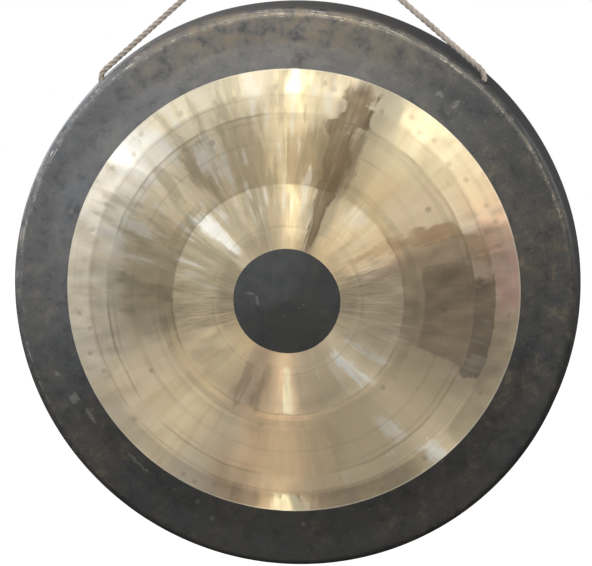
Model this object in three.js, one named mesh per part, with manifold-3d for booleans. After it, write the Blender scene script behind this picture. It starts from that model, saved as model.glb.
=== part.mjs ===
// Large chau gong (tam-tam) hanging by a rope from the eye tied in the rope's middle.
// Millimetres, +Z up. The gong faces -Y, and its rim is turned back towards +Y.
// The origin is the point where a stand's hook bears on the inside of the hanging eye.

import * as THREE from 'three';
import { mergeVertices } from 'three/addons/utils/BufferGeometryUtils.js';
import Module from 'manifold-3d';

const wasm = await Module();
wasm.setup();

// Gong plate: one forged disc, domed face, rounded corner and a rim that flares to the back.
const RIM_RADIUS = 400;
const RIM_DEPTH = 71;
const RIM_FLARE = THREE.MathUtils.degToRad(13);
const CORNER_RADIUS = 14;
const PLATE = 3;
const DOME_HEIGHT = 24;
const DOME_RADIUS = 340;
const DOME_POWER = 1.2;
const DOME_STEPS = 7;
const CORNER_STEPS = 5;
const GONG_SEGMENTS = 96;

// Two rope holes through the rim, just behind the corner, either side of the top.
const HOLE_ANGLE = THREE.MathUtils.degToRad(41.4);
const HOLE_DEPTH = 16;
const HOLE_RADIUS = 7.5;
const HOLE_CUT_LENGTH = 40;
const HOLE_SEGMENTS = 24;

// The gong tips forward until its centre of gravity is plumb below the holes.
const HANG_TILT = THREE.MathUtils.degToRad(2.18);
const HOLE_LINE_Z = -297;

// Rope and its knots.
const ROPE_RADIUS = 4;
const ROPE_SIDES = 10;
const EYE_KNOT_RADIUS = 18;
const EYE_KNOT_Z = -68;
const STOPPER_RADIUS = 12;
const STOPPER_GAP = 0.6;

// Centreline of the right leg as [x, z]: out of the hole, a quick bend along the rim, then taut to the eye knot.
const LEG_ROUTE = [
  [255.1, -297], [255.7, -293.4], [255.5, -289.7], [254.4, -286.2], [252.6, -283], [250.1, -280.3],
  [242.5, -273.8], [231.1, -264.1], [212, -247.9], [189.2, -228.4], [166.3, -209], [143.5, -189.6],
  [120.6, -170.1], [97.8, -150.7], [74.9, -131.2], [52.1, -111.8], [29.2, -92.3], [14.6, -79.9],
];
const LEG_STEPS = 40;

// Centreline of the hanging eye as [x, z], from the knot up, over the hook and back down.
const EYE_SIDE = [[6.6, -49.5], [7.4, -43], [9.6, -35.5], [13.4, -27.5], [16.8, -20], [18, -14], [15.6, -5], [9, 1.6]];
const EYE_TOP = [0, 4];
const EYE_STEPS = 36;

const bronzeFace = new THREE.MeshStandardMaterial({ color: 0xc8b08c, roughness: 0.35, metalness: 1 });
const rope = new THREE.MeshStandardMaterial({ color: 0xb9b2aa, roughness: 0.9, metalness: 0 });

function domeHeightAt(radius) {
  const share = Math.min(radius / DOME_RADIUS, 1);
  return -DOME_HEIGHT * (1 - share * share) ** DOME_POWER;
}

// Radius of the rim's outer wall where it would meet the face plane without its corner.
function wallRootRadius() {
  return RIM_RADIUS - RIM_DEPTH * Math.tan(RIM_FLARE);
}

// The face plane ends and the corner begins at this radius, which is also the corner's centre.
function cornerCentreRadius() {
  const turn = Math.PI / 2 - RIM_FLARE;
  return wallRootRadius() - CORNER_RADIUS * Math.tan(turn / 2);
}

function wallRadiusAt(depth) {
  return wallRootRadius() + depth * Math.tan(RIM_FLARE);
}

// One skin of the plate, from its axis to the end of its corner; inset 0 is the struck side.
function skin(inset) {
  const points = [];
  for (let i = 0; i < DOME_STEPS; i++) {
    const radius = (DOME_RADIUS * i) / (DOME_STEPS - 1);
    points.push(new THREE.Vector2(radius, domeHeightAt(radius) + inset));
  }
  const turn = Math.PI / 2 - RIM_FLARE;
  const bend = CORNER_RADIUS - inset;
  for (let i = 0; i <= CORNER_STEPS; i++) {
    const angle = (turn * i) / CORNER_STEPS;
    const radius = cornerCentreRadius() + bend * Math.sin(angle);
    points.push(new THREE.Vector2(radius, CORNER_RADIUS - bend * Math.cos(angle)));
  }
  return points;
}

// The back edge is a narrow flat ring, on which the gong can be laid face up.
function plateProfile() {
  const edgeWidth = PLATE / Math.cos(RIM_FLARE);
  const backEdge = [
    new THREE.Vector2(RIM_RADIUS, RIM_DEPTH),
    new THREE.Vector2(RIM_RADIUS - edgeWidth, RIM_DEPTH),
  ];
  return [...skin(0), ...backEdge, ...skin(PLATE).reverse()];
}

function solidOf(geometry) {
  const bare = geometry.clone();
  bare.deleteAttribute('normal');
  bare.deleteAttribute('uv');
  const merged = mergeVertices(bare, 1e-4);
  const corners = merged.index.array;
  const kept = [];
  for (let i = 0; i < corners.length; i += 3) {
    const [a, b, c] = corners.slice(i, i + 3);
    if (a !== b && b !== c && c !== a) {
      kept.push(a, b, c);
    }
  }
  const vertProperties = new Float32Array(merged.attributes.position.array);
  return new wasm.Manifold(new wasm.Mesh({ numProp: 3, vertProperties, triVerts: new Uint32Array(kept) }));
}

function geometryOf(solid) {
  const mesh = solid.getMesh();
  const geometry = new THREE.BufferGeometry();
  geometry.setAttribute('position', new THREE.BufferAttribute(mesh.vertProperties, 3));
  geometry.setIndex(new THREE.BufferAttribute(mesh.triVerts, 1));
  geometry.computeVertexNormals();
  return geometry;
}

// The middle of the rim's wall at the holes: the gong rocks about the line through both.
function holeRadiusFromAxis() {
  return wallRadiusAt(HOLE_DEPTH) - PLATE / Math.cos(RIM_FLARE) / 2;
}

function holeDirection(side) {
  return new THREE.Vector3(side * Math.sin(HOLE_ANGLE), 0, Math.cos(HOLE_ANGLE));
}

function holeCentre(side) {
  const centre = holeDirection(side).multiplyScalar(holeRadiusFromAxis());
  centre.y = HOLE_DEPTH;
  return centre;
}

function holeCutter(side) {
  const cutter = new THREE.CylinderGeometry(HOLE_RADIUS, HOLE_RADIUS, HOLE_CUT_LENGTH, HOLE_SEGMENTS);
  const turn = new THREE.Quaternion().setFromUnitVectors(new THREE.Vector3(0, 1, 0), holeDirection(side));
  cutter.applyQuaternion(turn);
  cutter.translate(...holeCentre(side));
  return solidOf(cutter);
}

function gongPlate() {
  let plate = solidOf(new THREE.LatheGeometry(plateProfile(), GONG_SEGMENTS));
  for (const side of [-1, 1]) {
    plate = plate.subtract(holeCutter(side));
  }
  const mesh = new THREE.Mesh(geometryOf(plate), bronzeFace);
  mesh.name = 'gong_plate';
  return mesh;
}

// A figure knot on the rope's end, drawn up against the inside of the rim.
function stopperKnot(side, name) {
  const wall = PLATE / Math.cos(RIM_FLARE) / 2;
  const reach = holeRadiusFromAxis() - wall - STOPPER_RADIUS - STOPPER_GAP;
  const knot = new THREE.Mesh(new THREE.SphereGeometry(STOPPER_RADIUS, 20, 14), rope);
  knot.position.copy(holeDirection(side).multiplyScalar(reach));
  knot.position.y = HOLE_DEPTH;
  knot.name = name;
  return knot;
}

function ropeTube(route, steps, name) {
  const curve = new THREE.CatmullRomCurve3(route.map(([x, z]) => new THREE.Vector3(x, 0, z)));
  const section = new THREE.Shape();
  section.absarc(0, 0, ROPE_RADIUS, 0, 2 * Math.PI);
  const options = { steps, curveSegments: ROPE_SIDES / 2, extrudePath: curve };
  const tube = new THREE.Mesh(new THREE.ExtrudeGeometry(section, options), rope);
  tube.name = name;
  return tube;
}

function mirrored(route) {
  return route.map(([x, z]) => [-x, z]);
}

function eyeKnot() {
  const knot = new THREE.Mesh(new THREE.SphereGeometry(EYE_KNOT_RADIUS, 24, 16), rope);
  knot.position.z = EYE_KNOT_Z;
  knot.name = 'eye_knot';
  return knot;
}

// The gong and its stopper knots, turned together about the line through the holes.
function hangingGong() {
  const hung = new THREE.Group();
  const centred = new THREE.Group();
  centred.position.set(0, -HOLE_DEPTH, -holeCentre(1).z);
  centred.add(gongPlate(), stopperKnot(-1, 'stopper_knot_left'), stopperKnot(1, 'stopper_knot_right'));
  hung.add(centred);
  hung.rotation.x = HANG_TILT;
  hung.position.z = HOLE_LINE_Z;
  return hung;
}

const gong = new THREE.Group();
gong.add(
  ropeTube([...mirrored(EYE_SIDE), EYE_TOP, ...EYE_SIDE.toReversed()], EYE_STEPS, 'hanging_eye'),
  eyeKnot(),
  ropeTube(LEG_ROUTE, LEG_STEPS, 'rope_leg_right'),
  ropeTube(mirrored(LEG_ROUTE), LEG_STEPS, 'rope_leg_left'),
  hangingGong(),
);

export default gong;
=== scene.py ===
import bpy
import math
import numpy as np
from mathutils import Matrix, Vector

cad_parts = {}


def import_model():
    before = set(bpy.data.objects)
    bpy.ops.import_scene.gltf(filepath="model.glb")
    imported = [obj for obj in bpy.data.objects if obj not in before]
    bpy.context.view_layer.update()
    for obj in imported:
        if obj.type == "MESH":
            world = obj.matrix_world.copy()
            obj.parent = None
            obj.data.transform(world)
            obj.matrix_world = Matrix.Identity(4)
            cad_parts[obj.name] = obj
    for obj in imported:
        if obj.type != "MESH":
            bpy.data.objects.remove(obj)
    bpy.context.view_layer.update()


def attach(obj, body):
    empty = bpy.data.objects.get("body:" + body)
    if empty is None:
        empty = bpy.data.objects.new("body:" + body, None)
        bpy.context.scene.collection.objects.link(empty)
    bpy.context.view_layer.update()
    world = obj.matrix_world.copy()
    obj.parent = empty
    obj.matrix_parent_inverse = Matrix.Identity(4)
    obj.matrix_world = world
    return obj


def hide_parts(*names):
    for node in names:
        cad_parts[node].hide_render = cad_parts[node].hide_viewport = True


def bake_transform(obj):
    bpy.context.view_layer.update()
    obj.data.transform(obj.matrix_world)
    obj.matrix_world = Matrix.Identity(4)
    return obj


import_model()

# ------------ measures
# The gong is made in its own coordinates, in metres: X across, Z up the face, Y back along
# its axis, with the origin where the axis meets the plane of the corner. GONG carries them
# to the row frame, where the gong leans forward by TILT about the two rope holes.
TILT = math.radians(2.18)
FLARE = math.radians(13.0)
RIM_RADIUS, RIM_DEPTH = 0.400, 0.071
CORNER, PLATE = 0.014, 0.003
DOME_HEIGHT, DOME_RADIUS, DOME_POWER = 0.024, 0.340, 1.2
WALL_ROOT = RIM_RADIUS - RIM_DEPTH * math.tan(FLARE)
CORNER_CENTRE = WALL_ROOT - CORNER * math.tan((math.pi / 2 - FLARE) / 2)
HOLE_ANGLE, HOLE_DEPTH, HOLE_RADIUS = math.radians(41.4), 0.016, 0.0075
HOLE_LINE_Z = -0.297
HOLE_OUT = WALL_ROOT + HOLE_DEPTH * math.tan(FLARE) - PLATE / math.cos(FLARE) / 2
HOLE_X, HOLE_Z = HOLE_OUT * math.sin(HOLE_ANGLE), HOLE_OUT * math.cos(HOLE_ANGLE)
GONG = (
    Matrix.Translation((0, 0, HOLE_LINE_Z))
    @ Matrix.Rotation(TILT, 4, "X")
    @ Matrix.Translation((0, -HOLE_DEPTH, -HOLE_Z))
)
ROPE = 0.008
KNOT_Z = -0.068

# ------------ camera
CAMERA_AZIMUTH, CAMERA_ELEVATION = math.radians(6.03), math.radians(10.14)
CAMERA_DISTANCE = 1.49955
CAMERA_AIM = Vector((0.01033, 0, 0.02114))
CAMERA_LENS = 67.165


def add(name, data):
    o = bpy.data.objects.new(name, data)
    bpy.context.scene.collection.objects.link(o)
    return o


def make_camera():
    out = Vector((
        math.sin(CAMERA_AZIMUTH) * math.cos(CAMERA_ELEVATION),
        -math.cos(CAMERA_AZIMUTH) * math.cos(CAMERA_ELEVATION),
        math.sin(CAMERA_ELEVATION),
    ))
    place = out * CAMERA_DISTANCE
    ahead = (CAMERA_AIM - place).normalized()
    right = ahead.cross(Vector((0, 0, 1))).normalized()
    up = right.cross(ahead)
    turn = Matrix((right, up, -ahead)).transposed().to_4x4()
    camera = add("camera", bpy.data.cameras.new("camera"))
    camera.data.lens = CAMERA_LENS
    camera.data.sensor_width = 36
    camera.data.clip_end = 60
    camera.matrix_world = GONG @ Matrix.Translation(place) @ turn
    bpy.context.scene.camera = camera


make_camera()

# ------------ rope
# The right half of the rope in the row frame, x and z in millimetres with y = 0: up from the
# hole, round to the straight leg, through the knot, and half way round the hanging eye.
LEG = [
    (255.1, -297), (255.7, -293.4), (255.5, -289.7), (254.4, -286.2), (252.6, -283),
    (250.1, -280.3), (242.5, -273.8), (231.1, -264.1), (212, -247.9), (189.2, -228.4),
    (166.3, -209), (143.5, -189.6), (120.6, -170.1), (97.8, -150.7), (74.9, -131.2),
    (52.1, -111.8), (29.2, -92.3), (14.6, -79.9),
]
THROUGH_KNOT = [(9.8, -74.6), (7.4, -66.6), (6.5, -58)]
EYE = [
    (6.6, -49.5), (7.4, -43), (9.6, -35.5), (13.4, -27.5), (16.8, -20), (18, -14),
    (15.6, -5), (9, 1.6),
]
EYE_TOP = (0, 4)
LINE_STEP = 0.0016
STRANDS, STRAND_SIDES = 3, 12
LAY = 0.027
STRAND_RADIUS = 0.00196
STRAND_HELIX = ROPE / 2 - STRAND_RADIUS
TIP_HEIGHT = 0.4


def smooth_line(points, step):
    """A Catmull-Rom curve through points, sampled evenly about every step."""
    p = np.array(points, float)
    p = np.vstack([2 * p[0] - p[1], p, 2 * p[-1] - p[-2]])
    t = np.linspace(0, 1, 24, endpoint=False)[:, None]
    pieces = []
    for a, b, c, d in zip(p, p[1:], p[2:], p[3:]):
        k = [np.linalg.norm(v - u) ** 0.5 for u, v in ((a, b), (b, c), (c, d))]
        ta, tb, tc, td = 0, k[0], k[0] + k[1], sum(k)
        s = tb + (tc - tb) * t
        ab = ((tb - s) * a + (s - ta) * b) / (tb - ta)
        bc = ((tc - s) * b + (s - tb) * c) / (tc - tb)
        cd = ((td - s) * c + (s - tc) * d) / (td - tc)
        abc = ((tc - s) * ab + (s - ta) * bc) / (tc - ta)
        bcd = ((td - s) * bc + (s - tb) * cd) / (td - tb)
        pieces.append(((tc - s) * abc + (s - tb) * bcd) / (tc - tb))
    line = np.vstack([*pieces, p[-2]])
    return even(line, step)


def even(line, step):
    """line sampled again at equal spacings of about step."""
    along = np.concatenate([[0], np.cumsum(np.linalg.norm(np.diff(line, axis=0), axis=1))])
    n = max(4, round(along[-1] / step))
    at = np.linspace(0, along[-1], n + 1)
    return np.stack([np.interp(at, along, line[:, k]) for k in range(3)], 1)


def frames(line):
    """Tangents, and one normal carried along the line without twist."""
    tangent = np.gradient(line, axis=0)
    tangent /= np.linalg.norm(tangent, axis=1)[:, None]
    normal = np.zeros_like(line)
    n = np.cross(tangent[0], (0.31, 0.83, 0.47))
    for i, t in enumerate(tangent):
        n = n - t * (n @ t)
        n /= np.linalg.norm(n)
        normal[i] = n
    return tangent, normal, np.cross(tangent, normal)


def tube(line, radius, sides, twist, phase, helix):
    """Vertices and faces of one strand that winds round line at radius helix, once per twist."""
    tangent, normal, binormal = frames(line)
    step = np.linalg.norm(np.diff(line, axis=0), axis=1)
    along = np.concatenate([[0], np.cumsum(step)])
    turn = phase + 2 * np.pi * along / twist
    out = normal * np.cos(turn)[:, None] + binormal * np.sin(turn)[:, None]
    line = line + out * helix
    tangent = frames(line)[0]
    binormal = np.cross(tangent, out)
    binormal /= np.linalg.norm(binormal, axis=1)[:, None]
    normal = np.cross(binormal, tangent)
    a = np.linspace(0, 2 * np.pi, sides, endpoint=False)
    ring = line[:, None] + radius * (
        normal[:, None] * np.cos(a)[None, :, None] + binormal[:, None] * np.sin(a)[None, :, None]
    )
    count = len(line)
    verts = ring.reshape(-1, 3)
    i, j = np.meshgrid(np.arange(count - 1), np.arange(sides), indexing="ij")
    k = (j + 1) % sides
    quads = np.stack([i * sides + j, i * sides + k, (i + 1) * sides + k, (i + 1) * sides + j], -1)
    faces = quads.reshape(-1, 4).tolist()
    # a low cone closes each end
    tip = radius * TIP_HEIGHT
    verts = np.vstack([verts, line[0] - tangent[0] * tip, line[-1] + tangent[-1] * tip])
    first, last = count * sides, count * sides + 1
    base = (count - 1) * sides
    faces += [[first, (m + 1) % sides, m] for m in range(sides)]
    faces += [[last, base + m, base + (m + 1) % sides] for m in range(sides)]
    return verts, faces


def mesh_object(name, parts):
    """One smooth object from several (vertices, faces) parts."""
    verts, faces, base = [], [], 0
    for v, f in parts:
        verts.append(v)
        faces += [[k + base for k in face] for face in f]
        base += len(v)
    mesh = bpy.data.meshes.new(name)
    mesh.from_pydata(np.vstack(verts).tolist(), [], faces)
    mesh.update()
    mesh.shade_smooth()
    return add(name, mesh)


def laid_rope(name, lines, scale=1.0):
    """Three strands laid round each line, as one mesh."""
    parts = []
    for line in lines:
        for k in range(STRANDS):
            parts.append(tube(
                line, STRAND_RADIUS * scale, STRAND_SIDES, twist=LAY,
                phase=2 * math.pi * k / STRANDS, helix=STRAND_HELIX * scale,
            ))
    return mesh_object(name, parts)


def row_point(p):
    """A point of the lists above, in metres in the row frame."""
    return (p[0] / 1000, 0.0, p[1] / 1000)


half = [row_point(p) for p in LEG + THROUGH_KNOT + EYE]
rope_points = [(-x, y, z) for x, y, z in half] + [row_point(EYE_TOP)] + half[::-1]
rope_line = smooth_line(rope_points, LINE_STEP)
rope = laid_rope("hanging_rope", [rope_line])


# ------------ knots
def tighten(curves, pins, thickness, length, steps):
    """Pulls thin curves up into a knot of touching ropes. pins is, for each curve, how many
    points at its start and end stay put; length is the spacing each curve shrinks to."""
    counts = [len(c) for c in curves]
    x = np.vstack(curves).astype(float)
    owner = np.repeat(np.arange(len(curves)), counts)
    index = np.concatenate([np.arange(n) for n in counts])
    fixed = np.zeros(len(x), bool)
    start = 0
    for n, (a, b) in zip(counts, pins):
        fixed[start:start + a] = True
        fixed[start + n - b:start + n] = True
        start += n
    link = np.flatnonzero(owner[:-1] == owner[1:])
    bend = link[:-1][(link[1:] == link[:-1] + 1)] + 1
    first = np.linalg.norm(x[link + 1] - x[link], axis=1).mean()
    free = (~fixed).astype(float)
    for step in range(steps):
        part = min(1.0, step / (steps * 0.7))
        rest = first + (length - first) * part
        reach = int(math.ceil(thickness * 1.35 / rest))
        for _ in range(3):
            d = x[link + 1] - x[link]
            size = np.linalg.norm(d, axis=1)
            move = d * ((size - rest) / np.maximum(size, 1e-9) * 0.5)[:, None]
            shift = np.zeros_like(x)
            np.add.at(shift, link, move)
            np.add.at(shift, link + 1, -move)
            x += shift * 0.5 * free[:, None]
        middle = (x[bend - 1] + x[bend + 1]) / 2 - x[bend]
        x[bend] += middle * 0.25 * free[bend][:, None]
        for _ in range(2):
            gap = x[:, None] - x[None]
            distance = np.linalg.norm(gap, axis=2)
            near = (owner[:, None] != owner[None]) | (abs(index[:, None] - index[None]) > reach)
            push = np.where(near & (distance < thickness), thickness - distance, 0)
            shift = (gap / np.maximum(distance, 1e-9)[..., None] * push[..., None]).sum(1)
            shift /= np.maximum(1, (push > 0).sum(1))[:, None]
            x += shift * 0.5 * free[:, None]
    out, start = [], 0
    for n in counts:
        out.append(x[start:start + n])
        start += n
    return out


def overhand(count, size):
    """A loose overhand knot, from -x to +x."""
    t = np.linspace(-2.15, 2.15, count)
    return np.stack([
        (t ** 3 - 3 * t) * size,
        (t ** 4 - 4 * t ** 2) * size,
        (t ** 5 - 10 * t) / 5 * size,
    ], 1)


STOPPER_SIZE, STOPPER_SPACING = 0.0045, 0.00115
# How far inside the hole a stopper knot's centre sits, and how much tail it keeps.
STOPPER_IN, STOPPER_TAIL = 0.0185, 0.022
EYE_SIZE, EYE_SPACING = 0.0058, 0.0013
EYE_KNOT_SCALE = 1.01
LOOSE_STEP, LOOSE_EYE_STEP = 0.0022, 0.0024
KNOT_STEPS = 360


def stopper_line():
    """The rope's line in a stopper knot, along +X from the hole, with its centre at the origin."""
    lead = np.array([[-0.034, 0, 0], [-0.027, 0, 0]])
    line = even(np.vstack([lead, overhand(90, STOPPER_SIZE), -lead[::-1]]), LOOSE_STEP)
    return tighten([line], [(4, 4)], ROPE, STOPPER_SPACING, KNOT_STEPS)[0]


def eye_knot_lines():
    """The two rope lines in the knot under the hanging eye: +X is up and Z is across."""
    lead = np.array([[-0.036, 0, 0], [-0.029, 0, 0]])
    line = even(np.vstack([lead, overhand(110, EYE_SIZE), -lead[::-1]]), LOOSE_STEP)
    tangent = np.gradient(line, axis=0)
    tangent /= np.linalg.norm(tangent, axis=1)[:, None]
    across = np.zeros_like(line)
    wanted = np.array([0.0, 0.0, 1.0])
    v = wanted
    for i, t in enumerate(tangent):
        v = v - t * (v @ t)
        v /= np.linalg.norm(v)
        across[i] = v
    other = np.cross(tangent, across)
    # the two lines lie side by side, turned so that they end across the eye as they began
    left = math.atan2(wanted @ other[-1], wanted @ across[-1])
    turn = left * np.linspace(0, 1, len(line))[:, None]
    offset = across * np.cos(turn) + other * np.sin(turn)
    leg = np.array([LEG[-1][k] - LEG[-2][k] for k in (0, 1)])
    leg /= np.linalg.norm(leg)
    curves = []
    for side in (1, -1):
        curve = line + offset * side * ROPE * 0.55
        start = [[-q * leg[1], 0, -side * q * leg[0]] for q in (0.040, 0.036, 0.032, 0.028)]
        end = [[z / 1000 - KNOT_Z, 0, side * x / 1000]
               for x, z in ((7.1, -44.5), (8.2, -40), (9.6, -35.5), (11.2, -32))]
        inside = (abs(curve[:, 0]) < 0.030) | (np.hypot(curve[:, 1], curve[:, 2]) > 0.006)
        curves.append(even(np.vstack([start, curve[inside], end]), LOOSE_EYE_STEP))
    return tighten(curves, [(5, 4)] * 2, ROPE, EYE_SPACING, KNOT_STEPS)


def placed(line, axes, origin):
    """line with its X, Y and Z along the three axes, from origin."""
    return line @ np.array(axes, float) + np.array(origin, float)


def make_knots():
    """The knot under the hanging eye, then the left and the right stopper knot."""
    eye = [even(placed(c, [(0, 0, 1), (0, 1, 0), (1, 0, 0)], (0, 0, KNOT_Z)), LINE_STEP)
           for c in eye_knot_lines()]
    knots = [laid_rope("eye_knot_rope", eye, EYE_KNOT_SCALE)]
    base = even(stopper_line(), LINE_STEP)
    tail = (base[:, 0] > STOPPER_TAIL) & (np.arange(len(base)) > len(base) / 2)
    base = base[(base[:, 0] > -STOPPER_IN) & ~tail]
    turn = GONG.to_3x3()
    for side, name in ((-1, "left"), (1, "right")):
        out = Vector((side * math.sin(HOLE_ANGLE), 0, math.cos(HOLE_ANGLE)))
        front = Vector((0, -1, 0))
        hole = Vector((side * HOLE_X, HOLE_DEPTH, HOLE_Z))
        axes = [turn @ -out, turn @ front, turn @ front.cross(out)]
        line = placed(base, axes, GONG @ (hole - out * STOPPER_IN))
        knots.append(laid_rope("stopper_rope_" + name, [line]))
    return knots


eye_knot, stopper_left, stopper_right = make_knots()


# ------------ gong
# Edges of the scraped bronze ring, in millimetres from the axis, by angle clockwise from the top.
RING_EDGE = 306.1
RING_WAVES = ((1, 2.8, 28), (2, 2.4, 83), (3, 0.5, -35))
PATCH_EDGE = 71.5
PATCH_WAVES = ((1, 0.5, 200), (2, 0.5, 95), (5, 0.25, 10))
SCRAPE = 0.00012
SEED = 5
# Radii of the face's outermost flat row, and spacings of the rows, in millimetres.
FACE_END = 366.0
FACE_STEP, BACK_STEP = 3.4, 6.2
RIM_SIDES, BACK_SIDES = 512, 256


def edge_at(theta, base, waves):
    """Radius of an edge at an angle; each wave is (count, height, degrees of its crest)."""
    return base + sum(a * np.cos(n * (theta - math.radians(p))) for n, a, p in waves)


def undulation(x, z, count, shortest, longest, height, seed):
    """Hammered unevenness: many faint waves in all directions, in metres."""
    rng = np.random.default_rng(seed)
    total = np.zeros_like(x)
    for _ in range(count):
        wave = shortest * (longest / shortest) ** rng.random()
        way, phase = rng.random(2) * 2 * np.pi
        k = 2 * np.pi / wave
        total += (wave / longest) ** 1.2 * np.sin(k * (x * np.cos(way) + z * np.sin(way)) + phase)
    return total * height * (2 / count) ** 0.5


def step(x, a, b):
    """0 below a, 1 above b, smooth between."""
    t = np.clip((x - a) / (b - a), 0, 1)
    return t * t * (3 - 2 * t)


def bump(r, centre, width):
    """1 at the centre, fading to 0 a few widths away."""
    return np.exp(-((r - centre) / width) ** 2)


def face_y(x, z):
    """How far back the struck face lies, in metres, by place across it in metres."""
    r = np.hypot(x, z)
    theta = np.arctan2(x, z)
    dome = -DOME_HEIGHT * (1 - np.clip(r / DOME_RADIUS, 0, 1) ** 2) ** DOME_POWER
    mm = r * 1000
    zones = (
        0.20 * bump(mm, 95, 7) - 0.30 * bump(mm, 160, 7) + 0.12 * bump(mm, 205, 12)
        + 0.22 * bump(mm, 252, 6) - 0.15 * bump(mm, 276, 7)
    ) / 1000
    calm = 1 - step(mm, 352, 370)
    inner = step(mm, 0, 60) * 0.7 + 0.3
    hammer = undulation(x, z, 70, 0.045, 0.16, 0.00038, SEED)
    hammer += undulation(x, z, 90, 0.018, 0.045, 0.00011, SEED + 1)
    patch_edge = edge_at(theta, PATCH_EDGE, PATCH_WAVES)
    ring_edge = edge_at(theta, RING_EDGE, RING_WAVES)
    ring = step(mm, patch_edge - 0.1, patch_edge + 0.5)
    ring *= 1 - step(mm, ring_edge - 0.5, ring_edge + 0.1)
    return dome + (zones * ring + hammer * inner) * calm + SCRAPE * ring


def profile():
    """The gong's closed section from the middle of the face round the rim to the middle of the
    back: (radius, depth, segments, kind), in metres. Kind 0 is the face, 1 the corner and the
    wall outside, 2 the same inside, and 3 the back of the face."""
    rows = []
    dense = [r for r in np.arange(FACE_STEP, FACE_END, FACE_STEP)
             if abs(r - PATCH_EDGE) > 2.2 and abs(r - RING_EDGE) > 2.2]
    edges = [PATCH_EDGE + d for d in (-1.6, -0.6, -0.1, 0.5, 1.4)]
    edges += [RING_EDGE + d for d in (-1.4, -0.5, 0.1, 0.6, 1.6)]
    radii = sorted([*dense, *edges, 368.5, 371])
    for r in radii:
        n = RIM_SIDES if r > 110 else 256 if r > 50 else 128 if r > 20 else 64
        rows.append((r / 1000, 0.0, n, 0))
    for a in np.linspace(0, math.pi / 2 - FLARE, 9):
        rows.append((CORNER_CENTRE + CORNER * math.sin(a), CORNER * (1 - math.cos(a)), RIM_SIDES, 1))
    wall_top = rows[-1][1]
    lip = 0.0011
    for y in np.linspace(wall_top, RIM_DEPTH - lip, 14)[1:]:
        rows.append((WALL_ROOT + y * math.tan(FLARE), y, RIM_SIDES, 1))
    # the open edge, with its arrises broken
    wall = PLATE / math.cos(FLARE)
    outer, inner = RIM_RADIUS - 0.0001, RIM_RADIUS - wall
    for r, y, kind in (
        (outer - 0.00035, RIM_DEPTH - 0.00035, 1), (outer - 0.0010, RIM_DEPTH, 1),
        (inner + 0.0009, RIM_DEPTH, 2), (inner + 0.0002, RIM_DEPTH - 0.0003, 2),
    ):
        rows.append((r, y, RIM_SIDES, kind))
    for y in np.linspace(RIM_DEPTH - lip, CORNER * (1 - math.sin(FLARE)), 10):
        rows.append((WALL_ROOT + y * math.tan(FLARE) - wall, y, BACK_SIDES, 2))
    inner_corner = CORNER - PLATE
    for a in np.linspace(math.pi / 2 - FLARE, 0, 7)[1:]:
        rows.append((CORNER_CENTRE + inner_corner * math.sin(a),
                     CORNER - inner_corner * math.cos(a), BACK_SIDES, 2))
    for r in np.arange(FACE_END, 3, -BACK_STEP):
        n = BACK_SIDES if r > 60 else 128 if r > 25 else 64
        rows.append((r / 1000, PLATE, n, 3))
    return rows


def gong_vertices(rows):
    """One ring of points for each row, with the hammering and the edges' waves put in."""
    rings = []
    for r, y, n, kind in rows:
        theta = np.linspace(0, 2 * np.pi, n, endpoint=False)
        rr = np.full(n, r)
        if kind == 0:
            for base, waves, width in ((RING_EDGE, RING_WAVES, 22), (PATCH_EDGE, PATCH_WAVES, 12)):
                rr = rr + (edge_at(theta, base, waves) - base) / 1000 * bump(r * 1000, base, width)
        x, z = rr * np.sin(theta), rr * np.cos(theta)
        if kind in (0, 3):
            depth = face_y(x, z) + (PLATE if kind == 3 else 0)
        else:
            # the rim is hammered too: a little out of round, most at its open edge
            share = y / RIM_DEPTH
            wave = undulation(x, z, 24, 0.09, 0.4, 0.00028, SEED + 2) * share
            wave -= 0.0003 * share
            x, z = x * (1 + wave / rr), z * (1 + wave / rr)
            depth = np.full(n, y)
            if share > 0.95:
                depth = depth - abs(undulation(x, z, 24, 0.05, 0.3, 0.00018, SEED + 3))
        rings.append(np.stack([x, depth, z], 1))
    return rings


def gong_faces(rings):
    """Faces between neighbouring rings, whose counts are equal or differ by a factor of two."""
    starts = np.cumsum([1] + [len(r) for r in rings])
    n = len(rings[0])
    faces = [[0, 1 + k, 1 + (k + 1) % n] for k in range(n)]
    for i, (a, b) in enumerate(zip(rings, rings[1:])):
        sa, sb, na, nb = starts[i], starts[i + 1], len(a), len(b)
        if na == nb:
            k = np.arange(na)
            m = (k + 1) % na
            faces += np.stack([sa + k, sb + k, sb + m, sa + m], 1).tolist()
        elif nb == 2 * na:
            for k in range(na):
                m = (k + 1) % na
                p, q, s = sb + 2 * k, sb + 2 * k + 1, sb + (2 * k + 2) % nb
                faces += [[sa + k, p, q], [sa + k, q, sa + m], [sa + m, q, s]]
        else:
            for k in range(nb):
                m = (k + 1) % nb
                p, q, s = sa + 2 * k, sa + 2 * k + 1, sa + (2 * k + 2) % na
                faces += [[p, sb + k, q], [q, sb + k, sb + m], [q, sb + m, s]]
    last, n = starts[-2], len(rings[-1])
    tip = starts[-1]
    faces += [[last + k, tip, last + (k + 1) % n] for k in range(n)]
    return [face[::-1] for face in faces]


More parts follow.
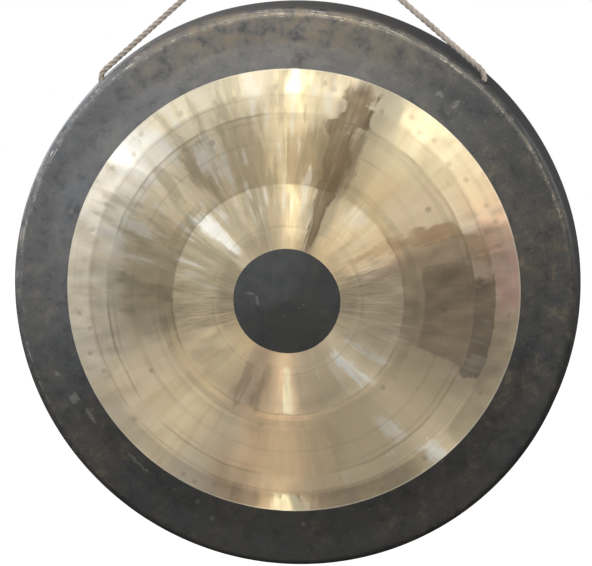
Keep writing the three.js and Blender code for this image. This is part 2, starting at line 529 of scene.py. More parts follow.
def hole_cutter(side):
    """A round cutter along the hole, opening out a little at the rim's outer face."""
    out = Vector((side * math.sin(HOLE_ANGLE) * math.cos(FLARE), -math.sin(FLARE),
                  math.cos(HOLE_ANGLE) * math.cos(FLARE)))
    section = [(-0.0040, HOLE_RADIUS + 0.0021), (-0.0021, HOLE_RADIUS + 0.0003), (-0.0014, HOLE_RADIUS),
               (0.0009, HOLE_RADIUS), (0.0022, HOLE_RADIUS + 0.0009), (0.016, HOLE_RADIUS + 0.010)]
    turn = out.to_track_quat("Z", "Y").to_matrix()
    centre = Vector((side * HOLE_X, HOLE_DEPTH, HOLE_Z))
    sides = 40
    verts, faces = [], []
    for s, r in section:
        for k in range(sides):
            a = 2 * math.pi * k / sides
            verts.append(centre + turn @ Vector((r * math.cos(a), r * math.sin(a), s)))
    for i in range(len(section) - 1):
        for k in range(sides):
            m = (k + 1) % sides
            faces.append([i * sides + k, i * sides + m, (i + 1) * sides + m, (i + 1) * sides + k])
    faces.append(list(range(sides))[::-1])
    faces.append([(len(section) - 1) * sides + k for k in range(sides)])
    mesh = bpy.data.meshes.new("cutter")
    mesh.from_pydata([tuple(v) for v in verts], [], faces)
    return add("cutter", mesh)


def make_gong():
    rows = profile()
    rings = gong_vertices(rows)
    middle = np.array([0.0])
    first = [0.0, float(face_y(middle, middle)[0]), 0.0]
    last = [0.0, first[1] + PLATE, 0.0]
    verts = np.vstack([[first], *rings, [last]])
    mesh = bpy.data.meshes.new("gong_bronze")
    mesh.from_pydata(verts.tolist(), [], gong_faces(rings))
    mesh.update()
    gong = add("gong_bronze", mesh)
    for side in (-1, 1):
        cutter = hole_cutter(side)
        cut = gong.modifiers.new("hole", "BOOLEAN")
        cut.object, cut.operation, cut.solver = cutter, "DIFFERENCE", "MANIFOLD"
        bpy.context.view_layer.objects.active = gong
        bpy.ops.object.modifier_apply(modifier="hole")
        bpy.data.objects.remove(cutter)
    gong.data.shade_smooth()
    gong.data.set_sharp_from_angle(angle=math.radians(38))
    return gong


gong = make_gong()


# ------------ shader helper
class Shader:
    """Short names for a material's nodes. Values may be numbers, colours or other sockets."""

    def __init__(self, name, owner=None):
        self.material = owner or bpy.data.materials.new(name)
        self.material.use_nodes = True
        self.tree = self.material.node_tree
        self.tree.nodes.clear()

    def node(self, kind, values=None, **props):
        n = self.tree.nodes.new("ShaderNode" + kind)
        for k, v in props.items():
            setattr(n, k, v)
        for k, v in (values or {}).items():
            if isinstance(v, bpy.types.NodeSocket):
                self.tree.links.new(v, n.inputs[k])
            else:
                n.inputs[k].default_value = v
        return n

    def math(self, op, a, b=0.0, c=0.0, clamp=False):
        return self.node("Math", {0: a, 1: b, 2: c}, operation=op, use_clamp=clamp).outputs[0]

    def add(self, a, b):
        return self.math("ADD", a, b)

    def sub(self, a, b):
        return self.math("SUBTRACT", a, b)

    def mul(self, a, b):
        return self.math("MULTIPLY", a, b)

    def total(self, *terms):
        out = terms[0]
        for t in terms[1:]:
            out = self.add(out, t)
        return out

    def rise(self, value, low, high):
        """0 below low, 1 above high, smooth between."""
        return self.node("MapRange", {0: value, 1: low, 2: high, 3: 0.0, 4: 1.0},
                         interpolation_type="SMOOTHSTEP").outputs[0]

    def band(self, value, low, high, soft):
        """1 between low and high, 0 outside, smooth over soft either side of each."""
        up = self.rise(value, low - soft, low + soft)
        return self.mul(up, self.rise(value, high + soft, high - soft))

    def fit(self, value, low, high, to_low, to_high):
        return self.node("MapRange", {0: value, 1: low, 2: high, 3: to_low, 4: to_high}).outputs[0]

    def mix(self, share, a, b):
        n = self.node("Mix", data_type="RGBA", blend_type="MIX", clamp_factor=True)
        for k, v in ((0, share), (6, a), (7, b)):
            if isinstance(v, bpy.types.NodeSocket):
                self.tree.links.new(v, n.inputs[k])
            else:
                n.inputs[k].default_value = v if k == 0 else (*v, 1.0)
        return n.outputs[2]

    def blend_value(self, share, a, b):
        return self.add(self.mul(share, self.sub(b, a)), a)

    def noise(self, vector, scale, detail=3.0, rough=0.55, distort=0.0):
        values = {"Vector": vector, "Scale": scale, "Detail": detail, "Roughness": rough,
                  "Distortion": distort}
        return self.node("TexNoise", values).outputs["Fac"]

    def vector(self, x, y, z):
        return self.node("CombineXYZ", {0: x, 1: y, 2: z}).outputs[0]

    def ramp(self, value, stops):
        """stops are (place, grey)."""
        n = self.node("ValToRGB", {0: value})
        elements = n.color_ramp.elements
        while len(elements) < len(stops):
            elements.new(0.5)
        for e, (at, grey) in zip(elements, stops):
            e.position = at
            e.color = (grey, grey, grey, 1)
        return n.outputs[0]

    def bump(self, height, distance, strength=1.0):
        values = {"Height": height, "Distance": distance, "Strength": strength}
        return self.node("Bump", values).outputs[0]

    def surface(self, values):
        bsdf = self.node("BsdfPrincipled", values)
        out = self.node("OutputMaterial")
        self.tree.links.new(bsdf.outputs[0], out.inputs[0])


class GongShader(Shader):
    """A shader with the gong's own coordinates: millimetres, and angles clockwise from the top."""

    def __init__(self, name):
        super().__init__(name)
        self.place = self.node("Mapping", {
            "Vector": self.node("TexCoord").outputs["Object"],
            "Location": GONG.translation, "Rotation": GONG.to_euler(),
        }, vector_type="TEXTURE").outputs[0]
        xyz = self.node("SeparateXYZ", {0: self.place})
        self.x, self.y, self.z = (self.mul(o, 1000.0) for o in xyz.outputs)
        self.r = self.math("SQRT", self.add(self.mul(self.x, self.x), self.mul(self.z, self.z)))
        safe = self.math("MAXIMUM", self.r, 0.5)
        self.sin, self.cos = (self.math("DIVIDE", v, safe) for v in (self.x, self.z))
        self.theta = self.math("ARCTAN2", self.x, self.z)
        turns = self.math("DIVIDE", self.theta, 2 * math.pi)
        self.turn = self.math("FRACT", self.add(turns, 1.0))
        self.degrees = self.mul(self.turn, 360.0)
        self.flat = self.vector(self.x, 0.0, self.z)

    def polar(self, around, along):
        """Coordinates whose noise has around features per radian and along per millimetre."""
        return self.vector(self.mul(self.sin, around), self.mul(self.cos, around), self.mul(self.r, along))

    def facing(self, degrees):
        """1 in the direction of this many degrees, -1 in the opposite one."""
        return self.math("COSINE", self.sub(self.theta, math.radians(degrees)))

    def brushing(self):
        """The direction round the axis, in which the metal is scraped."""
        return self.node("Tangent", direction_type="RADIAL", axis="Y").outputs[0]

    def edge(self, base, waves):
        """edge_at, as a socket."""
        out = base
        for n, a, p in waves:
            c = self.math("COSINE", self.math("MULTIPLY_ADD", self.theta, float(n), -n * math.radians(p)))
            out = self.math("MULTIPLY_ADD", c, a, out)
        return out


# ------------ bronze, struck side
# Painted highlight colours (BRIGHT, CREAM, YELLOW) and painted dark reflection tints, some like tarnish
# (BROWN, UMBER, OLIVE).
BRIGHT, CREAM, YELLOW = (1.0, 0.97, 0.88), (1.0, 0.90, 0.66), (1.0, 0.92, 0.68)
BROWN, UMBER, OLIVE = (0.42, 0.305, 0.19), (0.33, 0.265, 0.19), (0.40, 0.37, 0.24)
# Painted reflections on the ring: bright highlight streaks and dark reflection streaks, some of them brown
# like tarnish, laid one over the other. Each has (from, to, softness) by degrees clockwise from the top,
# the same by radius, then its strength and colour.
PAINTED_STREAKS = (
    ((3.0, 14.0, 2.0), (272, 330, 4), 0.45, CREAM),
    ((0.5, 16.0, 4.0), (90, 158, 6), 0.35, CREAM),
    ((2.0, 18.0, 4.0), (165, 225, 14), 0.55, BROWN),
    ((50, 76, 6.0), (165, 262, 8), 0.80, (1.0, 0.87, 0.66)),
    ((19.0, 26.5, 0.9), (70, 300, 10), 0.85, (0.30, 0.21, 0.125)),
    ((15.0, 31.0, 1.8), (150, 238, 14), 0.60, BROWN),
    ((30.5, 56.0, 4.0), (225, 330, 14), 0.85, CREAM),
    ((36.0, 46.0, 4.0), (130, 158, 8), 0.50, BRIGHT),
    ((70.0, 78.0, 2.5), (95, 235, 18), 0.45, (0.62, 0.42, 0.30)),
    ((82.0, 115.0, 1.1), (184, 250, 2.0), 0.66, (0.40, 0.30, 0.21)),
    ((84.0, 98.0, 0.9), (205, 270, 14), 0.40, UMBER),
    ((96.0, 114.0, 1.6), (160, 205, 12), 0.40, UMBER),
    ((85.0, 114.0, 0.8), (250, 277, 1.2), 0.86, (0.155, 0.15, 0.11)),
    ((80.0, 96.0, 2.0), (281, 330, 1.5), 0.75, (0.95, 0.60, 0.50)),
    ((120.0, 138.0, 4.0), (90, 160, 3.0), 0.40, (0.58, 0.49, 0.35)),
    ((118.0, 170.0, 5.0), (163, 270, 3.0), 0.38, (0.56, 0.465, 0.33)),
    ((150.0, 177.0, 3.0), (90, 158, 3.0), 0.40, (0.58, 0.46, 0.31)),
    ((188.0, 204.0, 3.0), (90, 158, 3.0), 0.35, (0.60, 0.46, 0.33)),
    ((304.0, 314.0, 1.6), (80, 160, 8), 0.50, OLIVE),
    ((323.0, 334.0, 2.0), (80, 156, 8), 0.40, OLIVE),
    ((342.0, 359.0, 3.0), (90, 158, 8), 0.50, (0.54, 0.43, 0.29)),
    ((74.0, 120.0, 6.0), (85, 300, 25), 0.42, (0.52, 0.40, 0.29)),
    ((124.0, 129.0, 1.5), (95, 158, 6), 0.55, BRIGHT),
    ((138.0, 143.0, 1.4), (92, 160, 6), 0.95, BRIGHT),
    ((139.0, 143.5, 1.4), (276, 330, 4), 0.85, BRIGHT),
    ((142.0, 148.0, 1.5), (200, 245, 12), 0.55, BRIGHT),
    ((146.0, 176.0, 4.0), (271, 330, 2.5), 0.50, BROWN),
    ((188.0, 208.0, 5.0), (271, 330, 2.5), 0.45, BROWN),
    ((166.0, 200.0, 6.0), (170, 280, 14), 0.45, (0.42, 0.34, 0.23)),
    ((178.5, 187.0, 0.8), (276, 330, 3), 0.95, YELLOW),
    ((179.5, 185.5, 0.8), (92, 158, 3), 0.95, YELLOW),
    ((196.0, 202.0, 1.6), (96, 156, 8), 0.50, BROWN),
    ((208.0, 216.0, 1.8), (96, 156, 8), 0.45, BROWN),
    ((206.0, 268.0, 6.0), (165, 330, 20), 0.90, (1.0, 0.87, 0.66)),
    ((275.0, 283.0, 1.8), (150, 300, 14), 0.60, OLIVE),
    ((261.0, 274.0, 3.0), (140, 225, 14), 0.36, OLIVE),
    ((276.0, 308.0, 5.0), (75, 165, 18), 0.50, OLIVE),
    ((282.0, 300.0, 3.0), (165, 235, 16), 0.40, OLIVE),
    ((288.0, 326.0, 5.0), (235, 330, 8), 0.80, (1.0, 0.93, 0.80)),
    ((326.0, 350.0, 5.0), (235, 330, 8), 0.80, (1.0, 0.89, 0.64)),
    ((313.0, 321.0, 1.6), (90, 160, 6), 0.90, BRIGHT),
    ((312.0, 322.0, 2.0), (276, 330, 5), 0.90, BRIGHT),
    ((327.0, 334.0, 1.5), (168, 245, 14), 0.55, BROWN),
    ((333.0, 337.5, 1.6), (180, 240, 14), 0.50, BRIGHT),
    ((342.0, 357.0, 3.0), (150, 262, 16), 0.50, (0.50, 0.40, 0.25)),
    ((352.0, 355.5, 1.0), (270, 330, 5), 0.90, YELLOW),
    ((338.0, 350.0, 4.0), (75, 150, 14), 0.40, OLIVE),
    ((208.0, 288.0, 5.0), (251, 267, 2), 0.55, CREAM),
    ((252, 290, 6.0), (230, 330, 10), 0.60, (1.0, 0.91, 0.74)),
)
# A patch whose radius is this soft or less keeps to the ring's zones; a softer one has ragged ends.
CRISP = 3
# Lines that the scraper cut deeper, each as (radius, half width, strength).
SCRAPED_LINES = (
    (101.0, 1.2, 0.25), (158.0, 1.0, 0.45), (172.0, 5.0, 0.30), (213.0, 1.4, 0.20),
    (240.0, 1.2, 0.25), (249.0, 1.5, 0.55), (272.0, 0.9, 0.35),
)
# Radii between which the ring's ramps run from 0 to 1.
RAMP_START, RAMP_END = 60.0, 320.0


class RingShader(GongShader):
    """Adds what the bare ring's tones share: a slow wobble, and rays that break up the painted reflection
    streaks and vary the roughness.
    """

    def __init__(self, name):
        super().__init__(name)
        self.wobble = self.sub(self.noise(self.polar(4.0, 0.016), 1.0, 4.0, 0.62), 0.5)
        broad = self.noise(self.polar(9.0, 0.010), 1.0, 3.0, 0.6)
        fine = self.noise(self.polar(30.0, 0.010), 1.0, 3.0, 0.6)
        self.rays = self.blend_value(0.35, broad, fine)
        self.jag = self.sub(self.rays, 0.5)
        # the painted rays and the bump's waves show most near the middle
        self.streak_weight = self.zones(0.0, [
            (0.0, 0.6), (0.12, 1.0), (0.36, 1.0), (0.39, 0.30), (0.71, 0.30), (0.74, 0.5), (1.0, 0.6),
        ])

    def zones(self, wander, stops):
        """A value for each zone of the ring, whose borders wander by so many millimetres."""
        radius = self.add(self.r, self.mul(self.wobble, wander))
        return self.ramp(self.fit(radius, RAMP_START, RAMP_END, 0.0, 1.0), stops)


def bronze_tone(s):
    """The metal's colour, pinker at the right and below, with painted light paling it up on the left."""
    tone = s.noise(s.polar(1.6, 0.004), 1.0, 2.0)
    colour = s.mix(tone, (0.90, 0.73, 0.475), (0.88, 0.745, 0.515))
    right = s.mul(s.band(s.degrees, 64.0, 92.0, 8.0), s.rise(s.r, 225.0, 275.0))
    pink = s.add(right, s.mul(s.band(s.degrees, 168.0, 214.0, 14.0), 0.5))
    colour = s.mix(s.mul(pink, 0.9), colour, (0.95, 0.665, 0.50))
    # painted light: paler up on the left, where the light falls
    pale = s.mul(s.rise(s.facing(-25), -0.25, 0.55), s.rise(s.r, 165.0, 255.0))
    pale = s.mul(pale, s.sub(1.0, pink))
    return s.mix(s.mul(pale, 0.55), colour, (1.0, 0.90, 0.70))


def patched(s, colour):
    """colour with the painted highlight and reflection streaks over it, then a dull border round the
    centre and a leaning brown edge.
    """
    zone = s.zones(6.0, [
        (0.0, 0.45), (0.362, 0.45), (0.375, 0.75), (0.72, 0.75), (0.735, 0.25), (0.825, 0.25),
        (0.84, 0.55), (1.0, 0.55),
    ])
    degrees = s.total(s.degrees, s.mul(s.wobble, 16.0), s.mul(s.jag, 14.0), s.mul(zone, 7.0))
    ragged = s.total(s.r, s.mul(s.jag, 85.0), s.mul(s.wobble, 24.0))
    crisp = s.total(s.r, s.mul(s.wobble, 7.0), s.mul(s.jag, 4.0))
    strength = s.fit(s.rays, 0.38, 0.62, 1.25, 0.60)

    def laid(where, depth, tint):
        share = s.math("MULTIPLY", where, s.mul(strength, depth), clamp=True)
        return s.mix(share, colour, tint)

    for (start, end, soft), (near, far, fade), depth, tint in PAINTED_STREAKS:
        radius = crisp if fade <= CRISP else ragged
        where = s.mul(s.band(degrees, start, end, soft), s.band(radius, near, far, fade))
        colour = laid(where, depth, tint)
    colour = laid(s.rise(ragged, 95.0, 85.0), 0.30, (0.52, 0.42, 0.30))
    lean = s.sub(degrees, s.mul(s.sub(s.r, 220.0), 0.085))
    edge = s.mul(s.band(lean, 70.0, 75.0, 1.2), s.band(ragged, 100.0, 288.0, 14.0))
    return laid(edge, 0.55, (0.50, 0.32, 0.18))


def barred(s, colour):
    """colour with broken bars of light and shade over its upper left."""
    bars = s.noise(s.polar(15.0, 0.017), 1.0, 3.0, 0.5)
    region = s.mul(s.rise(s.facing(-30), 0.60, 0.78), s.rise(s.r, 100.0, 135.0))
    shade = s.mul(s.rise(bars, 0.50, 0.63), region)
    colour = s.mix(s.mul(shade, 0.45), colour, (0.46, 0.41, 0.27))
    glow = s.mul(s.rise(bars, 0.47, 0.35), region)
    return s.mix(s.mul(glow, 0.60), colour, (1.0, 0.96, 0.86))


def scraped(s, colour):
    """colour with rings left by each pass of the scraper, painted light and dark rays of
    reflection, and the deeper lines."""
    fine = s.noise(s.polar(0.8, 0.45), 1.0, 3.0, 0.7)
    passes = s.noise(s.polar(0.5, 0.085), 1.0, 2.0, 0.5)
    colour = s.mix(s.mul(s.rise(passes, 0.50, 0.78), 0.22), colour, (0.56, 0.46, 0.33))
    colour = s.mix(s.mul(s.rise(fine, 0.58, 0.80), 0.22), colour, (0.52, 0.42, 0.29))
    # painted reflection: dark rays, then bright highlight rays
    colour = s.mix(s.mul(s.rise(s.rays, 0.50, 0.64), s.mul(s.streak_weight, 0.26)), colour, (0.52, 0.42, 0.28))
    colour = s.mix(s.mul(s.rise(s.rays, 0.48, 0.36), s.mul(s.streak_weight, 0.32)), colour, (1.0, 0.93, 0.78))
    patchy = s.rise(s.noise(s.polar(2.2, 0.02), 1.0, 3.0), 0.36, 0.60)
    radius = s.add(s.r, s.mul(s.wobble, 7.0))
    for at, half_width, depth in SCRAPED_LINES:
        line = s.band(radius, at - half_width, at + half_width, 1.2)
        colour = s.mix(s.mul(s.mul(line, patchy), depth), colour, (0.40, 0.33, 0.22))
    return colour


def bare_bronze(s):
    """Colour, roughness and groove height of the scraped and polished ring."""
    colour = scraped(s, barred(s, patched(s, bronze_tone(s))))
    roughness = s.zones(5.0, [
        (0.0, 0.44), (0.12, 0.42), (0.15, 0.31), (0.362, 0.31), (0.375, 0.52), (0.72, 0.50),
        (0.735, 0.42), (0.825, 0.40), (0.84, 0.30), (1.0, 0.30),
    ])
    roughness = s.add(roughness, s.fit(s.rays, 0.3, 0.7, -0.015, 0.05))
    rings = s.mul(s.noise(s.polar(1.2, 0.5), 1.0, 2.0, 0.6), 0.000012)
    waves = s.mul(s.mul(s.noise(s.polar(9.0, 0.020), 1.0, 3.0, 0.6), s.streak_weight), 0.00042)
    return colour, roughness, s.add(rings, waves)


# ------------ hammer marks and black skin
# The row of marks round the ring: its radius, and how many would fill it.
ROW_RADIUS, ROW_COUNT = 286.0, 60.0
SKIN_METALLIC = 0.86
# Scratches in the skin, each as (from, to) by degrees clockwise from the top, then by radius.
SCRATCHES = (
    (243.0, 245.0, 330.0, 343.0), (236.5, 240.5, 327.0, 331.0), (250.2, 251.4, 343.0, 348.0),
    (218.0, 225.0, 319.0, 321.0), (264.0, 277.0, 38.0, 41.0), (278.0, 281.0, 44.0, 57.0),
    (39.6, 40.6, 334.0, 346.0), (35.5, 36.4, 334.0, 341.0),
)


def dimples(s):
    """Round marks of the last light hammering, 1 in their middle: a row of them just inside the
    edge of the bare ring, more on the black skin, and a few further in."""
    cells = s.node("TexVoronoi", {"Vector": s.flat, "Scale": 0.036, "Randomness": 0.8})
    dent = s.rise(cells.outputs["Distance"], 0.20, 0.08)
    pick = s.noise(cells.outputs["Position"], 13.0, 0.0)
    few = s.add(s.mul(s.rise(pick, 0.46, 0.50), s.band(s.r, 306.0, 352.0, 4.0)),
                s.mul(s.rise(pick, 0.54, 0.58), s.band(s.r, 150.0, 262.0, 4.0)))
    per_mm = ROW_COUNT / (2 * math.pi * ROW_RADIUS)
    up = s.math("MULTIPLY_ADD", s.sub(s.r, ROW_RADIUS), per_mm, 0.33)
    near = s.node("TexVoronoi", {"Vector": s.vector(s.mul(s.turn, ROW_COUNT), up, 0.0), "Scale": 1.0,
                                 "Randomness": 0.66}, voronoi_dimensions="2D")
    ringed = s.rise(near.outputs["Distance"], 0.17, 0.07)
    kept = s.rise(s.noise(near.outputs["Position"], 7.0, 0.0), 0.44, 0.52)
    ringed = s.mul(s.mul(ringed, kept), s.mul(s.band(s.r, 268.0, 299.0, 1.0), 0.7))
    return s.add(s.mul(dent, few), ringed)


def oxide_skin(s):
    """Colour, roughness and height of the black fired skin left on the metal, with painted light and shade
    in the colour.
    """
    cloud = s.noise(s.place, 7.0, 5.0, 0.62, 0.5)
    mottle = s.noise(s.place, 46.0, 6.0, 0.70, 0.3)
    grain = s.noise(s.place, 300.0, 3.0, 0.65)
    colour = s.mix(s.rise(cloud, 0.36, 0.66), (0.086, 0.091, 0.097), (0.118, 0.113, 0.104))
    brown = s.mul(s.rise(mottle, 0.52, 0.66), s.fit(cloud, 0.38, 0.62, 0.15, 0.85))
    colour = s.mix(s.mul(brown, 0.80), colour, (0.235, 0.195, 0.140))
    colour = s.mix(s.mul(s.rise(mottle, 0.48, 0.36), 0.50), colour, (0.052, 0.055, 0.061))
    colour = s.mix(s.mul(s.rise(grain, 0.56, 0.72), 0.40), colour, (0.24, 0.235, 0.22))
    # painted light and shade: paler and greyer up on the left and paler and browner at the top where the
    # light falls, darker below and in the centre patch as painted shade
    painted_upper_left_light = s.mul(s.rise(s.facing(-35), -0.2, 1.0), s.rise(mottle, 0.14, 0.62))
    colour = s.mix(s.mul(painted_upper_left_light, 0.60), colour, (0.222, 0.229, 0.245))
    top = s.mul(s.rise(s.facing(-4), 0.80, 0.99), s.rise(s.r, 322.0, 352.0))
    colour = s.mix(s.mul(s.mul(top, s.rise(mottle, 0.34, 0.62)), 0.60), colour, (0.285, 0.235, 0.170))
    colour = s.mix(s.mul(s.rise(s.cos, 0.1, -0.9), 0.40), colour, (0.052, 0.050, 0.047))
    colour = s.mix(s.mul(s.rise(s.r, 90.0, 70.0), 0.66), colour, (0.064, 0.068, 0.071))
    # pale scuffs and scratches with torn edges
    torn = s.noise(s.vector(s.x, s.y, s.mul(s.z, 2.2)), 0.075, 5.0, 0.75, 0.8)
    jag = s.mul(s.sub(torn, 0.5), 26.0)
    scuff = s.mul(s.rise(torn, 0.64, 0.76), s.rise(cloud, 0.48, 0.60))
    for start, end, near, far in SCRATCHES:
        across = s.band(s.add(s.degrees, s.mul(jag, 60.0 / near)), start, end, 40.0 / near + 0.25)
        along = s.band(s.add(s.r, s.mul(jag, 0.5)), near, far, 1.3)
        scuff = s.add(scuff, s.mul(across, along))
    colour = s.mix(s.math("MULTIPLY", scuff, 0.42, clamp=True), colour, (0.34, 0.33, 0.31))
    spots = s.node("TexVoronoi", {"Vector": s.place, "Scale": 120.0, "Randomness": 1.0})
    speck = s.mul(s.rise(spots.outputs["Distance"], 0.14, 0.05), s.rise(cloud, 0.54, 0.64))
    colour = s.mix(s.mul(speck, 0.6), colour, (0.40, 0.38, 0.31))
    roughness = s.fit(mottle, 0.3, 0.7, 0.38, 0.52)
    return colour, roughness, s.add(s.mul(mottle, 0.7), s.mul(grain, 0.3))


# ------------ finishes
def struck_ring():
    """The bare ring with a fringe of skin on either side of it."""
    s = RingShader("bronze_ring")
    rag = s.mul(s.sub(s.noise(s.polar(26.0, 0.0), 1.0, 3.0, 0.6), 0.5), 1.2)
    outer = s.sub(s.r, s.add(s.edge(RING_EDGE, RING_WAVES), s.mul(rag, 0.5)))
    inner = s.sub(s.r, s.add(s.edge(PATCH_EDGE, PATCH_WAVES), rag))
    ring = s.mul(s.rise(inner, -0.25, 0.25), s.rise(outer, 0.2, -0.2))
    bare, bare_rough, grooves = bare_bronze(s)
    dent = dimples(s)
    bare = s.mix(s.mul(dent, 0.50), bare, (0.47, 0.36, 0.24))
    lit_edge = s.mul(s.band(outer, -1.9, -0.4, 0.35), 0.75)
    bare = s.mix(lit_edge, bare, (0.95, 0.88, 0.72))
    skin, skin_rough, _ = oxide_skin(s)
    height = s.bump(s.add(s.mul(grooves, ring), s.mul(dent, -0.00010)), 1.0)
    s.surface({
        "Base Color": s.mix(ring, skin, bare), "Metallic": s.blend_value(ring, SKIN_METALLIC, 1.0),
        "Roughness": s.blend_value(ring, skin_rough, bare_rough), "Anisotropic": 1.0,
        "Anisotropic Rotation": 0.25, "Tangent": s.brushing(), "Normal": height,
    })
    return s.material


def struck_skin():
    """The black skin on the face, the corner and the outside of the rim."""
    s = GongShader("black_skin")
    skin, skin_rough, skin_height = oxide_skin(s)
    dent = dimples(s)
    skin = s.mix(s.mul(dent, 0.45), skin, (0.19, 0.19, 0.185))
    # painted shade darkens the rim behind the corner; along the corner, broken pale flecks of
    # wear and painted highlight, most of them high up and to the left where the light falls
    along = s.noise(s.polar(7.0, 0.9), 1.0, 5.0, 0.75)
    high = s.fit(s.facing(-25), -0.5, 0.9, 0.15, 1.15)
    wear_and_highlight = s.mul(s.mul(s.band(s.r, 371.5, 382.5, 2.5), s.rise(along, 0.51, 0.64)), high)
    flecks = s.rise(s.noise(s.place, 75.0, 5.0, 0.72), 0.47, 0.56)
    wear_and_highlight = s.mul(s.mul(wear_and_highlight, s.rise(s.y, 22.0, 8.0)), flecks)
    # painted shade on the rim behind the corner
    skin = s.mix(s.mul(s.rise(s.y, 9.0, 20.0), 0.55), skin, (0.040, 0.043, 0.052))
    # pale flecks along the corner: wear and painted highlight
    skin = s.mix(s.mul(wear_and_highlight, 0.85), skin, (0.72, 0.68, 0.60))
    height = s.bump(s.add(s.mul(skin_height, 0.00016), s.mul(dent, -0.00022)), 1.0)
    s.surface({
        "Base Color": skin, "Metallic": SKIN_METALLIC,
        "Roughness": s.sub(skin_rough, s.mul(wear_and_highlight, 0.08)), "Normal": height,
    })
    return s.material


def back_side():
    """The inside of the pan: skin, and a ring scraped with coarser strokes than the front's."""
    s = GongShader("gong_back")
    skin, skin_rough, skin_height = oxide_skin(s)
    rag = s.mul(s.sub(s.noise(s.polar(12.0, 0.0), 1.0, 4.0, 0.65), 0.5), 14.0)
    ring = s.band(s.add(s.r, rag), 84.0, 292.0, 2.0)
    ring = s.mul(ring, s.rise(s.y, 10.0, 6.0))
    strokes = s.noise(s.polar(2.0, 0.22), 1.0, 4.0, 0.7)
    bare = s.mix(s.rise(strokes, 0.30, 0.75), (0.46, 0.355, 0.215), (0.66, 0.525, 0.34))
    left = s.mul(s.rise(s.noise(s.polar(4.0, 0.05), 1.0, 4.0, 0.7), 0.58, 0.70), 0.7)
    bare = s.mix(left, bare, (0.16, 0.135, 0.105))
    colour = s.mix(ring, skin, bare)
    height = s.bump(s.total(
        s.mul(s.mul(strokes, ring), 0.00006),
        s.mul(s.mul(skin_height, s.sub(1.0, ring)), 0.00018),
    ), 1.0)
    s.surface({
        "Base Color": colour, "Metallic": s.blend_value(ring, SKIN_METALLIC, 1.0),
        "Roughness": s.blend_value(ring, skin_rough, s.fit(strokes, 0.3, 0.7, 0.42, 0.34)),
        "Anisotropic": 0.7, "Anisotropic Rotation": 0.25, "Tangent": s.brushing(), "Normal": height,
    })
    return s.material


def rope_material():
    """Off-white fibre, a little soiled."""
    s = Shader("cord_fibre")
    place = s.node("TexCoord").outputs["Object"]
    fibre = s.noise(place, 900.0, 4.0, 0.7, 0.6)
    soil = s.noise(place, 26.0, 4.0, 0.6)
    colour = s.mix(s.rise(soil, 0.35, 0.7), (0.46, 0.415, 0.385), (0.33, 0.29, 0.265))
    colour = s.mix(s.mul(s.rise(fibre, 0.45, 0.7), 0.5), colour, (0.56, 0.51, 0.475))
    colour = s.mix(s.mul(s.rise(fibre, 0.45, 0.3), 0.5), colour, (0.24, 0.20, 0.18))
    s.surface({
        "Base Color": colour, "Roughness": s.fit(fibre, 0.3, 0.7, 0.92, 0.72),
        "Sheen Weight": 0.25, "Sheen Roughness": 0.5, "Specular IOR Level": 0.3,
        "Normal": s.bump(fibre, 0.0005, 0.8),
    })
    return s.material


gong.data.materials.clear()
for material in (struck_ring(), struck_skin(), back_side()):
    gong.data.materials.append(material)


def assign_sides():
    """Gives each face of the gong its finish: 0 the ring, 1 the skin, 2 the inside of the pan."""
    mesh = gong.data
    centre, normal = (np.array([tuple(v) for v in what]) for what in (
        (p.center for p in mesh.polygons), (p.normal for p in mesh.polygons)))
    r = np.hypot(centre[:, 0], centre[:, 2])
    outward = (centre[:, 0] * normal[:, 0] + centre[:, 2] * normal[:, 2]) / np.maximum(r, 1e-9)
    back = (normal[:, 1] > 0.3) | ((outward < -0.2) & (centre[:, 1] > 0.003))
    theta = np.arctan2(centre[:, 0], centre[:, 2])
    bare = (r * 1000 < edge_at(theta, RING_EDGE, RING_WAVES) + 0.6)
    bare &= (r * 1000 > edge_at(theta, PATCH_EDGE, PATCH_WAVES) - 0.6)
    index = np.where(back, 2, np.where(bare, 0, 1))
    mesh.polygons.foreach_set("material_index", index.astype(np.int32))
    mesh.update()


assign_sides()
gong.data.transform(GONG)
rope_skin = rope_material()
for o in (rope, eye_knot, stopper_left, stopper_right):
    o.data.materials.append(rope_skin)

# ------------ what rides on what
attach(gong, "gong")
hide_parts("gong_plate")
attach(eye_knot, "hanger")
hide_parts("eye_knot")
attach(stopper_left, "gong")
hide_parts("stopper_knot_left")
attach(stopper_right, "gong")
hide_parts("stopper_knot_right")
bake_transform(rope)
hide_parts("rope_leg_left", "rope_leg_right", "hanging_eye")

# ------------ stage and light
FLOOR_Z = -3.20
FLOOR_RINGS, FLOOR_SIDES = (0.6, 2.0, 5.0, 12.0, 40.0), 64
WORLD_LEVEL = 2.10
MIDDLE = GONG @ Vector((0, 0, 0))


def floor():
    """A pale disc, bright to the camera and unseen by the metal."""
    mesh = bpy.data.meshes.new("floor")
    sides = FLOOR_SIDES
    angles = [2 * math.pi * k / sides for k in range(sides)]
    verts = [(0, 0, FLOOR_Z)]
    for r in FLOOR_RINGS:
        verts += [(r * math.cos(a), r * math.sin(a), FLOOR_Z) for a in angles]
    faces = [[0, 1 + k, 1 + (k + 1) % sides] for k in range(sides)]
    for i in range(len(FLOOR_RINGS) - 1):
        a, b = 1 + i * sides, 1 + (i + 1) * sides
        faces += [[a + k, b + k, b + (k + 1) % sides, a + (k + 1) % sides] for k in range(sides)]
    mesh.from_pydata(verts, [], faces)
    o = add("floor", mesh)
    s = Shader("pale_floor")
    seen = s.node("LightPath").outputs["Is Camera Ray"]
    glow = s.node("Emission", {"Color": (1, 1, 1, 1), "Strength": s.mul(seen, 0.70)})
    matt = s.node("BsdfDiffuse", {"Color": (0.75, 0.75, 0.75, 1)})
    both = s.node("AddShader", {0: glow.outputs[0], 1: matt.outputs[0]})
    s.node("OutputMaterial", {0: both.outputs[0]})
    mesh.materials.append(s.material)
    o.visible_glossy = False


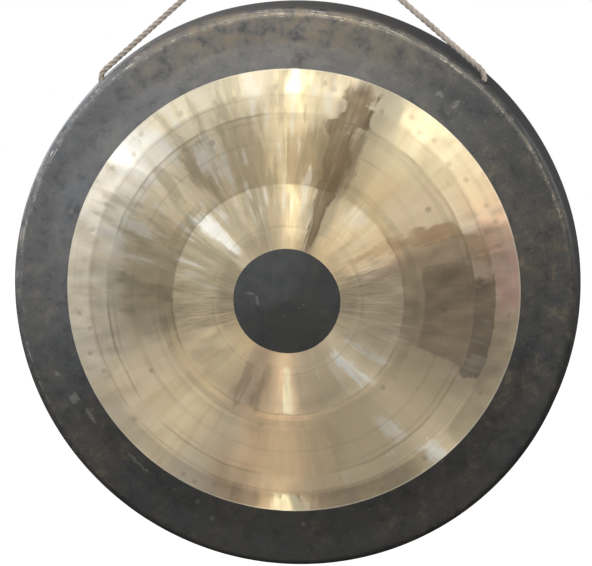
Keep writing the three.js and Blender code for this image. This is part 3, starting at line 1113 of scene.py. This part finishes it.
def world():
    """White to the camera; to the metal, a soft room that is brighter above and to the left."""
    w = bpy.data.worlds.new("studio")
    s = Shader("studio", w)
    way = s.node("SeparateXYZ", {0: s.node("TexCoord").outputs["Generated"]}).outputs
    level = s.ramp(s.fit(way[2], -1.0, 1.0, 0.0, 1.0), [
        (0.0, 0.05), (0.18, 0.06), (0.29, 0.13), (0.396, 0.33), (0.5, 0.62), (0.58, 0.74),
        (0.75, 0.60), (1.0, 0.35),
    ])
    side = s.ramp(s.fit(way[0], -1.0, 1.0, 0.0, 1.0), [
        (0.0, 0.70), (0.27, 0.98), (0.38, 0.78), (0.45, 0.62), (0.55, 0.48), (0.70, 0.36),
        (1.0, 0.34),
    ])
    behind = s.fit(way[1], 0.1, 0.7, 1.0, 0.36)
    room = s.node("Background", {"Color": level, "Strength": s.mul(s.mul(side, behind), WORLD_LEVEL)})
    seen = s.node("Background", {"Color": (1, 1, 1, 1), "Strength": 1.0})
    pick = s.node("MixShader", {0: s.node("LightPath").outputs["Is Camera Ray"],
                                1: room.outputs[0], 2: seen.outputs[0]})
    s.node("OutputWorld", {0: pick.outputs[0]})
    bpy.context.scene.world = w


def light(name, azimuth, elevation, distance, width, height, radiance, colour=(1, 1, 1), roll=0.0):
    """A soft box aimed at the gong's middle. Azimuth 0 is straight in front, positive towards
    +X; radiance is what a mirror would show of it."""
    a, e = math.radians(azimuth), math.radians(elevation)
    way = Vector((math.sin(a) * math.cos(e), -math.cos(a) * math.cos(e), math.sin(e)))
    data = bpy.data.lights.new(name, "AREA")
    data.shape = "RECTANGLE"
    data.size, data.size_y = width, height
    data.color = colour
    data.energy = radiance * math.pi * width * height
    o = add(name, data)
    aim = way.to_track_quat("Z", "Y").to_matrix().to_4x4()
    rolled = aim @ Matrix.Rotation(math.radians(roll), 4, "Z")
    o.matrix_world = Matrix.Translation(MIDDLE + way * distance) @ rolled
    o.visible_camera = False


floor()
world()
light("window", -5, 40, 2.8, 0.055, 1.2, 44, (1.0, 0.90, 0.66))
light("window_right", 7, 42, 2.8, 0.06, 0.8, 20, (1.0, 0.90, 0.70))
light("window_left", -19, 40, 2.8, 0.08, 0.8, 9, (1.0, 0.90, 0.70))
light("white_box", -50, 21, 2.8, 0.15, 0.7, 11, (0.97, 1.0, 1.0), roll=47)
light("warm_box", 37, 20, 2.8, 1.5, 0.9, 3.5, (1.0, 0.87, 0.66), roll=-52)
light("window_far", 36, 35, 2.8, 0.5, 0.9, 3.6, (1.0, 0.93, 0.72), roll=-38)
light("low_yellow", -11, -52, 2.8, 0.045, 0.9, 17, (1.0, 0.90, 0.68))
light("low_white", 37, -44, 2.8, 0.045, 0.8, 12, (1.0, 1.0, 0.96), roll=44)
light("side_left", -115, 25, 3.2, 1.4, 1.6, 2.0, (0.95, 0.98, 1.0))
light("side_right", 100, 20, 3.2, 1.2, 1.6, 1.8)
light("behind", 222, 12, 3.2, 1.6, 1.4, 2.2)
light("overhead", 0, 82, 2.6, 2.0, 1.2, 1.2)

bpy.context.scene.view_settings.view_transform = "Standard"
